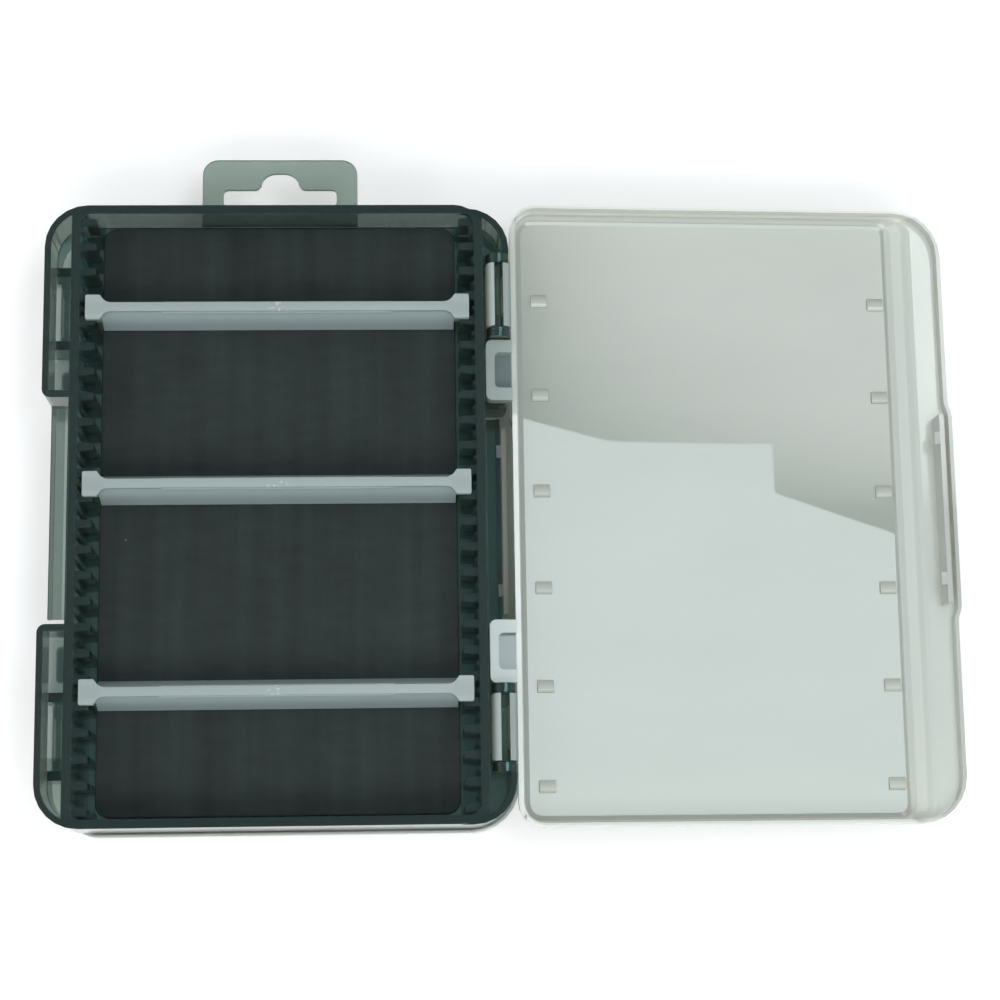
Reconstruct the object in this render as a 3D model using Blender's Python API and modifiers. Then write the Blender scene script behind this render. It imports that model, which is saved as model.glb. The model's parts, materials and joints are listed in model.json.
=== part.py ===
"""Lure box: a pocket tackle box that opens on both faces, with foam floors and removable dividers.

Every height is measured from the middle web, which lies MID_HEIGHT above the surface the box rests on.
The box is the same after half a turn about its long axis, so the back is the front turned over.
"""

import math

import bmesh
import bpy
from mathutils import Matrix, Vector

MM = 0.001

# Gaps and overlaps
CLEARANCE = 0.3 * MM
OVERRUN = 2.0 * MM
SINK = 0.6 * MM

# Box body
BODY_WIDTH = 115.5 * MM
BODY_LENGTH = 174.4 * MM
WALL = 2.5 * MM
RIM_HEIGHT = 14.0 * MM
WEB = 1.6 * MM
POCKET_CORNER = 3.0 * MM

# Side wings with the hinges and the closing rims
WING_WIDTH = 7.45 * MM
WING_CORNER = 12.0 * MM
WING_RIM = 1.8 * MM
WING_RIM_HEIGHT = 10.7 * MM
WALL_CORNER = 8.0 * MM
NOTCH_LENGTH = 63.4 * MM
NOTCH_CORNER = 2.3 * MM
END_RIB = 2.0 * MM

# Hinge pins and the ribs that carry them
AXIS_OUT = 4.2 * MM
AXIS_HEIGHT = 10.75 * MM
HINGE_FROM_END = 26.2 * MM
HINGE_SPAN = 19.0 * MM
HINGE_RIB = 2.6 * MM
PIN_RADIUS = 1.3 * MM
PIN_WAIST = 0.85 * MM
PIN_SHOULDER = 3.3 * MM
PIN_TAPER = 0.5 * MM

# Flange in the finger notch, gripped by the lid's hooks
GRIP_LENGTH = 60.0 * MM
GRIP_REACH = 5.05 * MM
GRIP_THICK = 1.1 * MM
BEAD_WIDTH = 1.1 * MM
BEAD_HEIGHT = 2.0 * MM

# Combs that hold the dividers
PITCH = 7.2 * MM
TOOTH_REACH = 4.25 * MM
TOOTH_ROOT = 2.6 * MM
TOOTH_TIP = 1.8 * MM
TOOTH_STEP = 2.0 * MM
NIB_REACH = 1.0 * MM
NIB_WIDTH = 1.6 * MM

# Hanging tab
TAB_WIDTH = 44.6 * MM
TAB_REACH = 17.9 * MM
TAB_CORNER = 4.5 * MM
SLOT_LENGTH = 32.5 * MM
SLOT_WIDTH = 5.2 * MM
SLOT_UP = 3.8 * MM
SLOT_CORNER = 1.4 * MM
HUMP_WIDTH = 11.0 * MM
HUMP_RISE = 4.9 * MM
HUMP_CORNER = 4.2 * MM
HUMP_BLEND = 1.8 * MM

# Foam floors
MAT_THICK = 2.0 * MM
MAT_SIDE_GAP = 1.0 * MM
MAT_CORNER = 3.8 * MM

# Dividers
BAR_WIDTH = 2.6 * MM
FOOT_WIDTH = 8.2 * MM
FOOT_SETBACK = 1.5 * MM
DIVIDER_WALL = 1.2 * MM
HEAD_LENGTH = 4.0 * MM
HEAD_WIDTH = 7.0 * MM
HEAD_THICK = 1.7 * MM
HEAD_BLEND = 3.2 * MM
HEAD_CORNER = 0.5 * MM
TONGUE_WIDTH = 3.6 * MM
LABEL_LENGTH = 64.0 * MM
LABEL_DROP = 1.3 * MM
LABEL_PROUD = 0.35 * MM
UPPER_DIVIDER_SHARE = 0.73
MIDDLE_DIVIDER_SHARE = 0.09
LOWER_DIVIDER_SHARE = -0.64

# Lids
LID_HEIGHT = 5.5 * MM
LID_PANEL = 1.5 * MM
LID_WALL = 1.5 * MM
LID_ROUND = 3.5 * MM
LID_HINGE_CORNER = 7.1 * MM
TRAY_FREE_CORNER = 6.0 * MM
HINGE_WALL_OUT = 0.25 * MM
SKIRT = 0.7 * MM
SKIRT_END_INSET = 1.55 * MM
FREE_SKIRT = 1.1 * MM
FREE_SKIRT_GAP = 0.55 * MM
LEDGE_THICK = 1.3 * MM
LEDGE_RISE = 0.2 * MM
LEDGE_WIDTH = 6.55 * MM
RAMP_RUN = 7.7 * MM
LIP_PAST = 1.1 * MM
LIP_LENGTH = 54.0 * MM
LIP_BLEND = 5.0 * MM
LIP_WALL = 1.4 * MM
HOOK_REACH = 1.4 * MM
HOOK_THICK = 1.2 * MM
HOOK_WIDTH = 3.6 * MM
HOOK_PLACE = 20.2 * MM
OPEN_ANGLE = 183.0

# Clips and plates on the lid's hinge side
BLOCK_RISE = 0.9 * MM
CLIP_RADIUS = 3.7 * MM
CLIP_MOUTH = 2.4 * MM
CLIP_CORNER = 1.0 * MM
PLATE_LENGTH = 17.5 * MM
PLATE_OUT = 7.5 * MM
PLATE_SKIN = 1.0 * MM
PLATE_CORNER = 1.8 * MM
WINDOW_LENGTH = 10.2 * MM
WINDOW_BORDER = 2.5 * MM
WINDOW_CORNER = 1.3 * MM

# Small bumps inside the lids
BUMP_LENGTH = 4.6 * MM
BUMP_SLOPE = 2.6 * MM
BUMP_DROP = 0.9 * MM
BUMP_RISE = 0.9 * MM
BUMP_FROM_TOP = 24.6 * MM
BUMP_FROM_BOTTOM = 13.3 * MM
BUMP_HINGE_INSET = 8.4 * MM
BUMP_FREE_INSET = 8.95 * MM
BUMPS_IN_ROW = 6

# Flat outlines are filled this many times larger, where Blender's fill keeps short edges
FILL_SCALE = 1000.0

# Facets in a quarter turn, and round a pin
QUARTER_STEPS = 6
PIN_STEPS = 16
BLEND_STEPS = 6

# Places worked out from the sizes above
wall_x = BODY_WIDTH / 2
wall_y = BODY_LENGTH / 2
inner_x = wall_x - WALL
inner_y = wall_y - WALL
wing_x = wall_x + WING_WIDTH
floor = WEB / 2
notch_y = NOTCH_LENGTH / 2
axis_x = wall_x + AXIS_OUT
hinge_y = wall_y - HINGE_FROM_END
plate_far = hinge_y - HINGE_SPAN / 2 - HINGE_RIB - CLEARANCE
tooth_top = RIM_HEIGHT - TOOTH_STEP
last_groove = math.floor((inner_y - TOOTH_ROOT / 2) / PITCH - 0.5)
tooth_tip_x = inner_x - TOOTH_REACH
mat_top = floor + CLEARANCE + MAT_THICK
lid_low = RIM_HEIGHT + CLEARANCE
lid_top = RIM_HEIGHT + LID_HEIGHT
lid_end = wall_y + CLEARANCE + SKIRT
lid_hinge = wall_x + HINGE_WALL_OUT
skirt_low = WING_RIM_HEIGHT + CLEARANCE
free_inner = wing_x + FREE_SKIRT_GAP
free_outer = free_inner + FREE_SKIRT
tray_foot = free_inner - LEDGE_WIDTH
MID_HEIGHT = lid_top

PLANES = {
    "XY": (Matrix(((1, 0, 0), (0, 1, 0), (0, 0, 1))), Vector((0, 0, 1))),
    "XZ": (Matrix(((1, 0, 0), (0, 0, -1), (0, 1, 0))), Vector((0, 1, 0))),
    "YZ": (Matrix(((0, 0, 1), (1, 0, 0), (0, 1, 0))), Vector((1, 0, 0))),
}


def clear_scene():
    """Removes what the scene holds, and makes the two collections."""
    for thing in list(bpy.data.objects):
        bpy.data.objects.remove(thing)
    made = []
    for name in ("lure_box", "lure_box_cutters"):
        collection = bpy.data.collections.new(name)
        bpy.context.scene.collection.children.link(collection)
        made.append(collection)
    return made


PARTS, CUTTERS = clear_scene()


def material(name, colour, roughness):
    """A plain moulded finish."""
    made = bpy.data.materials.new(name)
    made.use_nodes = True
    shader = made.node_tree.nodes["Principled BSDF"]
    shader.inputs["Base Color"].default_value = (*colour, 1)
    shader.inputs["Roughness"].default_value = roughness
    shader.inputs["Metallic"].default_value = 0
    return made


SMOKE = material("smoke_plastic", (0.045, 0.075, 0.078), 0.25)
MILKY_LID = material("milky_lid_plastic", (0.62, 0.68, 0.64), 0.4)
MILKY_DIVIDER = material("milky_divider_plastic", (0.42, 0.51, 0.5), 0.4)
FOAM = material("dark_foam", (0.02, 0.027, 0.025), 0.9)


def arc(centre_x, centre_y, radius, start, end, steps=QUARTER_STEPS):
    """Points along a round stretch, its angles in degrees."""
    points = []
    for step in range(steps + 1):
        angle = math.radians(start + (end - start) * step / steps)
        points.append((centre_x + radius * math.cos(angle), centre_y + radius * math.sin(angle)))
    return points


def rounded(corners):
    """An outline from (x, y, radius) corners, each with its round stretch."""
    points = []
    count = len(corners)
    for index, (x, y, radius) in enumerate(corners):
        corner = Vector((x, y))
        if radius == 0:
            points.append((x, y))
            continue
        before = (Vector(corners[index - 1][:2]) - corner).normalized()
        after = (Vector(corners[(index + 1) % count][:2]) - corner).normalized()
        half_angle = before.angle(after) / 2
        centre = corner + (before + after).normalized() * radius / math.sin(half_angle)
        start = corner + before * radius / math.tan(half_angle) - centre
        end = corner + after * radius / math.tan(half_angle) - centre
        sweep = start.angle(end)
        steps = max(2, round(QUARTER_STEPS * sweep / (math.pi / 2)))
        for step in range(steps + 1):
            share = step / steps
            spoke = start * math.sin((1 - share) * sweep) + end * math.sin(share * sweep)
            points.append(tuple(centre + spoke / math.sin(sweep)))
    return points


def rectangle(low_x, high_x, low_y, high_y, radius=0):
    """A rectangle's outline, with one radius at all its corners."""
    return rounded([
        (low_x, low_y, radius),
        (high_x, low_y, radius),
        (high_x, high_y, radius),
        (low_x, high_y, radius),
    ])


def keep(name, mesh, collection):
    """Links a mesh as an object of a collection."""
    thing = bpy.data.objects.new(name, mesh)
    collection.objects.link(thing)
    if collection is CUTTERS:
        thing.hide_render = True
        thing.display_type = "WIRE"
    return thing


def closed(mesh):
    """Welds a mesh and turns its faces outwards."""
    work = bmesh.new()
    work.from_mesh(mesh)
    bmesh.ops.remove_doubles(work, verts=work.verts, dist=CLEARANCE / 1000)
    bmesh.ops.recalc_face_normals(work, faces=work.faces)
    work.to_mesh(mesh)
    work.free()


def prism(name, outlines, low, high, plane="XY", collection=None):
    """A flat outline, with any holes in it, given its thickness across a plane."""
    curve = bpy.data.curves.new(name, "CURVE")
    curve.dimensions = "2D"
    curve.fill_mode = "BOTH"
    curve.extrude = (high - low) / 2 * FILL_SCALE
    for outline in outlines:
        spline = curve.splines.new("POLY")
        spline.points.add(len(outline) - 1)
        for point, (across, up) in zip(spline.points, outline):
            point.co = (across * FILL_SCALE, up * FILL_SCALE, 0, 1)
        spline.use_cyclic_u = True
    flat = bpy.data.objects.new(name, curve)
    bpy.context.scene.collection.objects.link(flat)
    graph = bpy.context.evaluated_depsgraph_get()
    mesh = bpy.data.meshes.new_from_object(flat.evaluated_get(graph))
    bpy.data.objects.remove(flat)
    turn, along = PLANES[plane]
    shrink = Matrix.Scale(1 / FILL_SCALE, 4)
    mesh.transform(Matrix.Translation(along * (low + high) / 2) @ turn.to_4x4() @ shrink)
    closed(mesh)
    return keep(name, mesh, collection or CUTTERS)


def loft(name, rings, collection=None):
    """A closed body through rings of equal point counts, with its two ends filled."""
    work = bmesh.new()
    loops = [[work.verts.new(point) for point in ring] for ring in rings]
    count = len(loops[0])
    for lower, upper in zip(loops, loops[1:]):
        for index in range(count):
            after = (index + 1) % count
            work.faces.new((lower[index], lower[after], upper[after], upper[index]))
    work.faces.new(loops[0][::-1])
    work.faces.new(loops[-1])
    bmesh.ops.recalc_face_normals(work, faces=work.faces)
    mesh = bpy.data.meshes.new(name)
    work.to_mesh(mesh)
    work.free()
    return keep(name, mesh, collection or CUTTERS)


def baked(thing):
    """The mesh of an object with its modifiers applied."""
    graph = bpy.context.evaluated_depsgraph_get()
    mesh = bpy.data.meshes.new_from_object(thing.evaluated_get(graph))
    return mesh


def mirror_ends(thing):
    """Repeats a piece at the other end of the box."""
    mirror = thing.modifiers.new("other_end", "MIRROR")
    mirror.use_axis = (False, True, False)
    mirror.use_mirror_merge = False
    return thing


def turned_over(thing):
    """The same piece on the back of the box: half a turn about the long axis."""
    mesh = thing.data.copy()
    for vertex in mesh.vertices:
        vertex.co.x = -vertex.co.x
        vertex.co.z = -vertex.co.z
    copy = keep(thing.name + "_back", mesh, CUTTERS)
    if thing.modifiers:
        mirror_ends(copy)
    return copy


def turned_round(thing):
    """The same piece on the opposite long wall: half a turn about the upright axis."""
    mesh = thing.data.copy()
    for vertex in mesh.vertices:
        vertex.co.x = -vertex.co.x
        vertex.co.y = -vertex.co.y
    return keep(thing.name + "_opposite", mesh, CUTTERS)


def combine(target, tool, operation):
    """Joins a piece to a body or cuts it out of the body."""
    boolean = target.modifiers.new(tool.name, "BOOLEAN")
    boolean.operation = operation
    boolean.object = tool
    boolean.solver = "EXACT"


def join(target, *tools):
    for tool in tools:
        combine(target, tool, "UNION")


def cut(target, *tools):
    for tool in tools:
        combine(target, tool, "DIFFERENCE")


def stepped_pin(name, grow):
    """A hinge pin with thick ends and a waist, or its bore when grown by a gap."""
    half = HINGE_SPAN / 2 + SINK + grow
    shoulder = HINGE_SPAN / 2 - PIN_SHOULDER
    profile = [
        (0, half),
        (PIN_RADIUS + grow, half),
        (PIN_RADIUS + grow, shoulder - grow),
        (PIN_WAIST + grow, shoulder - PIN_TAPER - grow),
        (PIN_WAIST + grow, -shoulder + PIN_TAPER + grow),
        (PIN_RADIUS + grow, -shoulder + grow),
        (PIN_RADIUS + grow, -half),
        (0, -half),
    ]
    mesh = bpy.data.meshes.new(name)
    points = [(across, 0, up) for across, up in profile]
    edges = [(index, index + 1) for index in range(len(points) - 1)]
    mesh.from_pydata(points, edges, [])
    pin = keep(name, mesh, CUTTERS)
    screw = pin.modifiers.new("turned", "SCREW")
    screw.steps = PIN_STEPS
    screw.render_steps = PIN_STEPS
    screw.use_merge_vertices = True
    screw.merge_threshold = CLEARANCE / 100
    solid = baked(pin)
    bpy.data.objects.remove(pin)
    place = Matrix.Translation((axis_x, hinge_y, AXIS_HEIGHT))
    half_facet = Matrix.Rotation(math.pi / PIN_STEPS, 4, "Z")
    solid.transform(place @ Matrix.Rotation(-math.pi / 2, 4, "X") @ half_facet)
    closed(solid)
    return mirror_ends(keep(name, solid, CUTTERS))


def comb_outline():
    """One long wall's row of teeth in plan, with a nib in each groove between them."""
    back = inner_x + SINK
    end = (last_groove + 0.5) * PITCH + TOOTH_ROOT / 2
    points = [(back, -end)]
    for index in range(-last_groove - 1, last_groove + 1):
        centre = (index + 0.5) * PITCH
        points += [
            (inner_x, centre - TOOTH_ROOT / 2),
            (tooth_tip_x, centre - TOOTH_TIP / 2),
            (tooth_tip_x, centre + TOOTH_TIP / 2),
            (inner_x, centre + TOOTH_ROOT / 2),
        ]
        groove = centre + PITCH / 2
        if index < last_groove:
            points += [
                (inner_x, groove - NIB_WIDTH / 2),
                (inner_x - NIB_REACH, groove),
                (inner_x, groove + NIB_WIDTH / 2),
            ]
    return points + [(back, end)]


def wing_pocket(name, start):
    """The hollow of a wing from a rib to the rounded corner, inside the rim."""
    radius = WING_CORNER - WING_RIM
    centre_x = wing_x - WING_CORNER
    centre_y = wall_y - WING_CORNER
    crossing = math.degrees(math.acos((wall_x - centre_x) / radius))
    outline = [(wall_x, start), (wing_x - WING_RIM, start)]
    outline += arc(centre_x, centre_y, radius, 0, crossing)
    return mirror_ends(prism(name, [outline], floor, RIM_HEIGHT + OVERRUN))


def beside_wall():
    """What is cut away beside the hinge wall, which keeps a rounded corner above the wing."""
    past_x = wing_x + OVERRUN
    past_y = wall_y + OVERRUN
    turn_x = wall_x - WALL_CORNER
    upper = arc(turn_x, wall_y - WALL_CORNER, WALL_CORNER, 0, 90)
    upper += [(turn_x, past_y), (past_x, past_y)]
    return upper + [(x, -y) for x, y in reversed(upper)]


def notch_outline():
    """The finger notch between the wings, flared round their corners."""
    past = wing_x + OVERRUN
    turn_y = notch_y + NOTCH_CORNER
    turn_x = wing_x - NOTCH_CORNER
    upper = arc(turn_x, turn_y, NOTCH_CORNER, -90, 0)
    lower = [(x, -y) for x, y in reversed(upper)]
    return [(wall_x, notch_y), *upper, (past, turn_y), (past, -turn_y), *lower, (wall_x, -notch_y)]


def hinge_rib(name, place):
    """A rib that carries a pin, its top rounded about the pin."""
    crown = wing_x - axis_x
    outline = [(wall_x - SINK, 0), (wing_x, 0)]
    outline += arc(axis_x, AXIS_HEIGHT, crown, 0, 180, 2 * QUARTER_STEPS)
    outline += [(axis_x - crown, AXIS_HEIGHT - SINK), (wall_x - SINK, AXIS_HEIGHT - SINK)]
    rib = prism(name, [outline], place - HINGE_RIB / 2, place + HINGE_RIB / 2, "XZ")
    return mirror_ends(rib)


def grip_flange():
    """The flange in the finger notch that the lid's hooks snap under."""
    tip = wall_x + GRIP_REACH
    outline = [
        (wall_x - SINK, WING_RIM_HEIGHT - GRIP_THICK),
        (tip - BEAD_WIDTH, WING_RIM_HEIGHT - GRIP_THICK),
        (tip - BEAD_WIDTH, WING_RIM_HEIGHT - BEAD_HEIGHT),
        (tip, WING_RIM_HEIGHT - BEAD_HEIGHT),
        (tip, WING_RIM_HEIGHT),
        (wall_x - SINK, WING_RIM_HEIGHT),
    ]
    flange = prism("grip_flange", [outline], -GRIP_LENGTH / 2, GRIP_LENGTH / 2, "XZ")
    for vertex in flange.data.vertices:
        vertex.co.x = -vertex.co.x
    flange.data.flip_normals()
    return flange


def hang_tab():
    """The hanging tab with its round-ended slot and the hump above it."""
    base = wall_y - SINK
    top = wall_y + TAB_REACH
    half = TAB_WIDTH / 2
    slot_low = wall_y + SLOT_UP
    slot_top = slot_low + SLOT_WIDTH
    end = SLOT_LENGTH / 2
    hump = HUMP_WIDTH / 2
    plate = rounded([
        (-half, base, 0),
        (half, base, 0),
        (half, top, TAB_CORNER),
        (-half, top, TAB_CORNER),
    ])
    slot = rounded([
        (-end, slot_low, SLOT_CORNER),
        (end, slot_low, SLOT_CORNER),
        (end, slot_top, SLOT_CORNER),
        (hump, slot_top, HUMP_BLEND),
        (hump, slot_top + HUMP_RISE, HUMP_CORNER),
        (-hump, slot_top + HUMP_RISE, HUMP_CORNER),
        (-hump, slot_top, HUMP_BLEND),
        (-end, slot_top, SLOT_CORNER),
    ])
    return prism("hang_tab", [plate, slot], -floor, floor)


def make_body():
    """The smoke body: one moulding with both pockets, the wings, pins, combs and the tab."""
    plan = rectangle(-wing_x, wing_x, -wall_y, wall_y, WING_CORNER)
    body = prism("base_body", [plan], -RIM_HEIGHT, RIM_HEIGHT, "XY", PARTS)
    rib_near = hinge_y - HINGE_SPAN / 2 - HINGE_RIB / 2
    rib_far = hinge_y + HINGE_SPAN / 2 + HINGE_RIB / 2
    top = RIM_HEIGHT + OVERRUN

    pocket_plan = rectangle(-inner_x, inner_x, -inner_y, inner_y, POCKET_CORNER)
    pocket = prism("pocket", [pocket_plan], floor, top)

    above_wing = prism("above_wing", [beside_wall()], WING_RIM_HEIGHT, top)
    hinge_plan = rectangle(wall_x, wing_x + OVERRUN, -rib_far, rib_far)
    hinge_bay = prism("hinge_bay", [hinge_plan], floor, top)
    hinge_corner = wing_pocket("hinge_corner", rib_far + HINGE_RIB / 2)
    closing_pocket = wing_pocket("closing_pocket", notch_y + END_RIB)
    for vertex in closing_pocket.data.vertices:
        vertex.co.x = -vertex.co.x
    closing_pocket.data.flip_normals()
    notch = prism("finger_notch", [notch_outline()], -top, top)
    for tool in (pocket, above_wing, hinge_bay, hinge_corner, closing_pocket, notch):
        cut(body, tool, turned_over(tool))

    comb = prism("comb", [comb_outline()], floor - SINK, tooth_top)
    other_comb = turned_round(comb)
    near = hinge_rib("hinge_rib_near", rib_near)
    far = hinge_rib("hinge_rib_far", rib_far)
    pin = stepped_pin("hinge_pin", 0)
    flange = grip_flange()
    for tool in (comb, other_comb, near, far, pin, flange):
        join(body, tool, turned_over(tool))
    join(body, hang_tab())

    body.location.z = MID_HEIGHT
    for modifier in body.modifiers:
        modifier.object.parent = body
    body.data.materials.append(SMOKE)
    return body


def lid_ring(free, hinge, end, free_corner, hinge_corner, height, lip=0):
    """One level of the lid in plan, with any swell of the finger lip on its free side."""
    outline = rounded([
        (-free, -end, free_corner),
        (hinge, -end, hinge_corner),
        (hinge, end, hinge_corner),
        (-free, end, free_corner),
    ])
    upper = []
    for step in range(BLEND_STEPS + 1):
        share = step / BLEND_STEPS
        swell = (1 - math.cos(math.pi * share)) / 2
        upper.append((-free - lip * swell, LIP_LENGTH / 2 + LIP_BLEND * (1 - share)))
    outline += upper + [(x, -y) for x, y in reversed(upper)]
    return [(x, y, height) for x, y in outline]


def tray_levels(inset, radius, low):
    """One skin of the tray: a ramp on the free side, and rounded foots of the other walls."""
    rise = lid_top - lid_low - LID_PANEL
    foot = tray_foot + (LID_WALL - inset) / 2
    levels = []
    for step in range(QUARTER_STEPS + 1):
        share = step / QUARTER_STEPS
        climbed = rise * (1 - math.cos(math.pi * share)) / 2
        into_round = max(0, climbed - rise + radius)
        drawn_in = radius - math.sqrt(radius ** 2 - into_round ** 2)
        levels.append(lid_ring(
            foot - RAMP_RUN * share,
            lid_hinge - inset - drawn_in,
            lid_end - inset - drawn_in,
            TRAY_FREE_CORNER - inset - drawn_in,
            LID_HINGE_CORNER - inset - drawn_in,
            low + climbed,
        ))
    return levels


def skirt_level(inset, free, free_corner, height):
    """One level of the skirt that hangs round the body's rim."""
    return lid_ring(
        free,
        lid_hinge - inset,
        lid_end - inset,
        free_corner,
        LID_HINGE_CORNER - inset,
        height,
        LIP_PAST,
    )


def lid_shell():
    """The tray, its flat ledge on the free side and the skirt round the rim, in one loft."""
    ledge_top = lid_low + LEDGE_THICK
    inner_corner = WING_CORNER + CLEARANCE
    outer_corner = inner_corner + FREE_SKIRT
    outside = [
        skirt_level(0, free_outer, outer_corner, skirt_low),
        skirt_level(0, free_outer, outer_corner, ledge_top),
        *tray_levels(0, LID_ROUND, ledge_top + LEDGE_RISE),
    ]
    inside = [
        skirt_level(SKIRT, free_inner, inner_corner, skirt_low),
        skirt_level(SKIRT, free_inner, inner_corner, lid_low),
        *tray_levels(LID_WALL, LID_ROUND - LID_WALL, lid_low),
    ]
    return loft("lid", inside[::-1] + outside)


def outer_corners(name, x, low_y, high_y, radius, low, high):
    """Cutters that round the two outer plan corners of a block on the hinge wall."""
    upper = arc(x - radius, high_y - radius, radius, 0, 90)
    upper += [
        (x - radius, high_y + OVERRUN),
        (x + OVERRUN, high_y + OVERRUN),
        (x + OVERRUN, high_y - radius),
    ]
    lower = [(across, low_y + high_y - along) for across, along in upper]
    return mirror_ends(prism(name, [upper, lower], low - OVERRUN, high + OVERRUN))


def lip_wall():
    """The wall under the finger lip, which carries the two snap hooks."""
    inner = -(wall_x + GRIP_REACH + CLEARANCE)
    hook_top = WING_RIM_HEIGHT - BEAD_HEIGHT - CLEARANCE
    hook_low = hook_top - HOOK_THICK
    half = LIP_LENGTH / 2
    wall_plan = rectangle(inner - LIP_WALL, inner, -half, half)
    wall = prism("lip_wall", [wall_plan], hook_low, lid_low + SINK)
    hook_outline = [
        (inner - SINK, hook_low),
        (inner, hook_low),
        (inner + HOOK_REACH, hook_low + HOOK_THICK / 2),
        (inner + HOOK_REACH, hook_top),
        (inner - SINK, hook_top),
    ]
    low = HOOK_PLACE - HOOK_WIDTH / 2
    hooks = prism("snap_hook", [hook_outline], low, low + HOOK_WIDTH, "XZ")
    return wall, mirror_ends(hooks)


def lid_clip():
    """A clip that snaps over a hinge pin, joined to the lid's hinge wall."""
    top = lid_low + BLOCK_RISE
    wall_in = lid_hinge - LID_WALL / 2
    step = lid_low + CLEARANCE
    left = axis_x - CLIP_RADIUS
    outline = arc(axis_x, AXIS_HEIGHT, CLIP_RADIUS, 180, 430, 3 * QUARTER_STEPS)
    outline += rounded([
        (axis_x + CLIP_CORNER, top, 0),
        (wall_in, top, 0),
        (wall_in, step, 0),
        (left, step, 0),
    ])
    half = HINGE_SPAN / 2 - CLEARANCE
    clip = prism("lid_clip", [outline], hinge_y - half, hinge_y + half, "XZ")
    mouth_outline = rectangle(
        axis_x - CLIP_MOUTH / 2,
        axis_x + CLIP_MOUTH / 2,
        AXIS_HEIGHT - CLIP_RADIUS - OVERRUN,
        AXIS_HEIGHT,
    )
    half = HINGE_SPAN / 2 + CLEARANCE
    mouth = prism("clip_mouth", [mouth_outline], hinge_y - half, hinge_y + half, "XZ")
    corners = outer_corners(
        "clip_corners",
        axis_x + CLIP_RADIUS,
        hinge_y - HINGE_SPAN / 2 + CLEARANCE,
        hinge_y + HINGE_SPAN / 2 - CLEARANCE,
        CLIP_CORNER,
        AXIS_HEIGHT - CLIP_RADIUS,
        top,
    )
    return mirror_ends(clip), mirror_ends(mouth), corners


def lid_plate():
    """A plate beside each clip, recessed from below."""
    low = AXIS_HEIGHT + CLEARANCE + CLEARANCE / 2
    top = lid_low + BLOCK_RISE
    near = wall_x + CLEARANCE + CLEARANCE / 6
    wall_in = lid_hinge - LID_WALL / 2
    step = lid_low + CLEARANCE
    outline = [
        (near, low),
        (near + PLATE_OUT, low),
        (near + PLATE_OUT, top),
        (wall_in, top),
        (wall_in, step),
        (near, step),
    ]
    near_end = plate_far - PLATE_LENGTH
    plate = prism("lid_plate", [outline], near_end, plate_far, "XZ")
    middle = (near_end + plate_far) / 2
    border = near + PLATE_OUT - WINDOW_BORDER
    back = near - OVERRUN
    window_outline = rounded([
        (back, middle - WINDOW_LENGTH / 2, 0),
        (border, middle - WINDOW_LENGTH / 2, WINDOW_CORNER),
        (border, middle + WINDOW_LENGTH / 2, WINDOW_CORNER),
        (back, middle + WINDOW_LENGTH / 2, 0),
    ])
    window = prism("plate_window", [window_outline], low - OVERRUN, top - PLATE_SKIN)
    outer = near + PLATE_OUT
    corners = outer_corners("plate_corners", outer, near_end, plate_far, PLATE_CORNER, low, top)
    return mirror_ends(plate), mirror_ends(window), corners


def lid_bumps():
    """Two rows of small wedges under the lid's panel."""
    under = lid_top - LID_PANEL
    first = lid_end - BUMP_FROM_TOP
    last = BUMP_FROM_BOTTOM - lid_end
    outlines = []
    for index in range(BUMPS_IN_ROW):
        start = first + (last - first) * index / (BUMPS_IN_ROW - 1)
        crest = start - BUMP_SLOPE
        end = crest - BUMP_DROP
        outlines.append([
            (start, under + SINK),
            (start, under - CLEARANCE),
            (crest, under - BUMP_RISE),
            (end, under - CLEARANCE),
            (end, under + SINK),
        ])
    rows = []
    for centre_x in (lid_hinge - BUMP_HINGE_INSET, -(wall_x - BUMP_FREE_INSET)):
        half = BUMP_LENGTH / 2
        rows.append(prism("lid_bumps", outlines, centre_x - half, centre_x + half, "YZ"))
    return rows


def lid_mesh():
    """The lid as it lies closed on the front, about its hinge axis."""
    lid = lid_shell()
    wall, hooks = lip_wall()
    clip, mouth, clip_corners = lid_clip()
    plate, window, plate_corners = lid_plate()
    hinge_side = rectangle(wall_x - SKIRT_END_INSET, lid_hinge + CLEARANCE, -lid_end, lid_end)
    skirt_end = prism("skirt_end", [hinge_side], skirt_low - OVERRUN, lid_low + CLEARANCE / 2)
    cut(lid, skirt_end)
    join(lid, wall, hooks, clip, plate, *lid_bumps())
    cut(lid, stepped_pin("clip_bore", CLEARANCE), mouth, clip_corners, window, plate_corners)

    mesh = baked(lid)
    mesh.name = "lid"
    mesh.transform(Matrix.Translation((-axis_x, 0, -AXIS_HEIGHT)))
    bpy.data.objects.remove(lid)
    mesh.materials.append(MILKY_LID)
    return mesh


def make_lids():
    """The front lid, laid open as far as it goes, and the back lid, closed."""
    mesh = lid_mesh()
    front = keep("front_lid", mesh, PARTS)
    front.location = (axis_x, 0, MID_HEIGHT + AXIS_HEIGHT)
    front.rotation_euler.y = math.radians(OPEN_ANGLE)
    back = keep("back_lid", mesh, PARTS)
    back.location = (-axis_x, 0, MID_HEIGHT - AXIS_HEIGHT)
    back.rotation_euler.y = math.pi


def make_mats():
    """A foam floor in each pocket, between the combs."""
    half_x = tooth_tip_x - MAT_SIDE_GAP
    half_y = inner_y - MAT_SIDE_GAP
    outline = rectangle(-half_x, half_x, -half_y, half_y, MAT_CORNER)
    low = floor + CLEARANCE
    for name, below, above in (("front_foam_mat", low, mat_top), ("back_foam_mat", -mat_top, -low)):
        mat = prism(name, [outline], below, above, "XY", PARTS)
        mat.location.z = MID_HEIGHT
        mat.data.materials.append(FOAM)


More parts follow.
